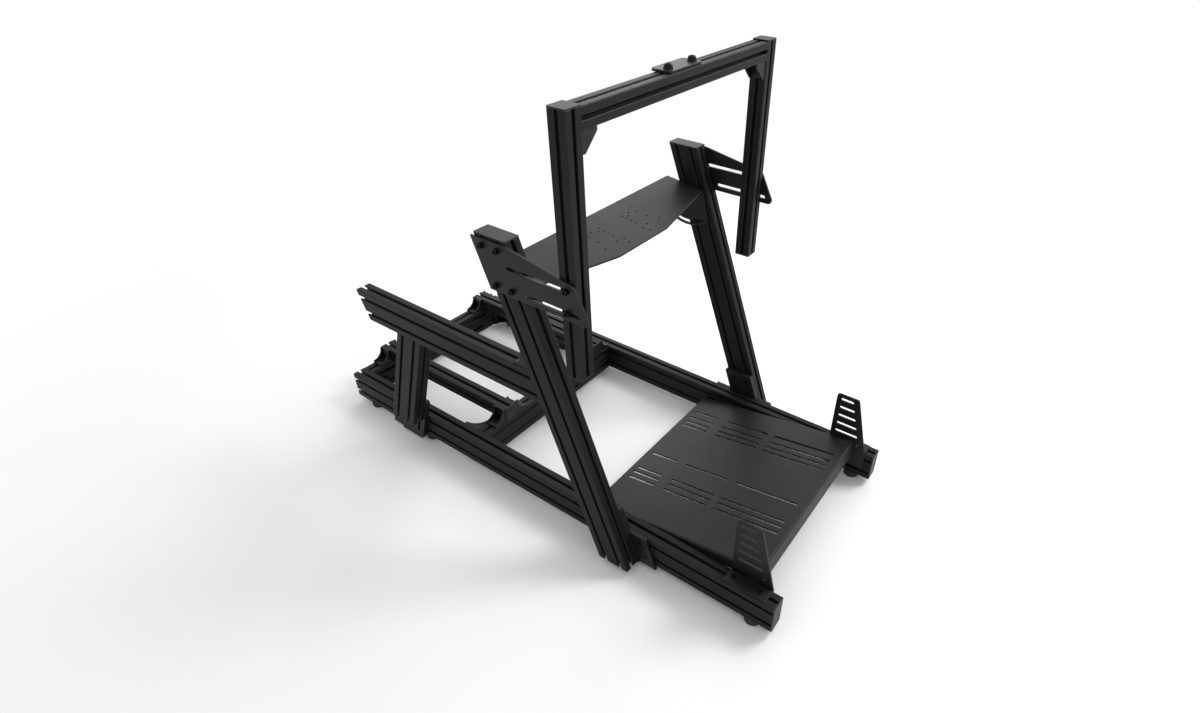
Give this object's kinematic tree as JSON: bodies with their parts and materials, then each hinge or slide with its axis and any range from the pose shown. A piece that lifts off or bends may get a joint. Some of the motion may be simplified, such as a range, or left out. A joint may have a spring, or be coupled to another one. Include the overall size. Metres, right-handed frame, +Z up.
{
  "type": "sim racing cockpit frame",
  "caption": "Open racing simulator frame of black slotted aluminium profile: base, leaning uprights, wheel deck, pedal plate, monitor stand and side shifter arm.",
  "frame": {"origin": "on the floor, under the middle of the frame's box", "axes": "+Z up, -Y to the pedal end, +Y to the seat end, -X to the driver's right, where the shifter arm is"},
  "size_m": [0.728, 1.43, 1.069],
  "materials": {
    "profile": "satin black anodised",
    "plate": "fine textured black powder coat",
    "casting": "satin black powder coat on casting",
    "cap": "moulded black nylon",
    "foot": "moulded black rubber"
  },
  "bodies": {
    "root": {"base_rail_right": "profile", "base_rail_left": "profile", "mid_cross_beam": "profile", "rear_cross_beam": "profile", "seat_beam_right": "profile", "seat_beam_left": "profile", "upright_right": "profile", "upright_left": "profile", "monitor_post_right": "profile", "monitor_post_left": "profile", "monitor_crossbar": "profile", "shifter_arm": "profile", "shifter_post": "profile", "upright_bracket_right": "plate", "upright_bracket_left": "plate", "shifter_post_bracket": "plate", "wheel_deck": "plate", "monitor_plate_right": "plate", "monitor_plate_left": "plate", "crossbar_tab": "plate", "pedal_plate": "plate", "pedal_bracket_right": "plate", "pedal_bracket_left": "plate", "crossbar_corner_brackets": "casting", "shifter_arm_bracket": "casting", "mid_cross_corner_brackets": "casting", "rear_cross_corner_brackets": "casting", "seat_beam_brackets_right": "casting", "seat_beam_brackets_left": "casting", "rail_end_caps": "cap", "upright_end_caps": "cap", "monitor_post_end_caps": "cap", "seat_beam_end_caps": "cap", "rubber_feet": "foot"}
  },
  "joints": []
}
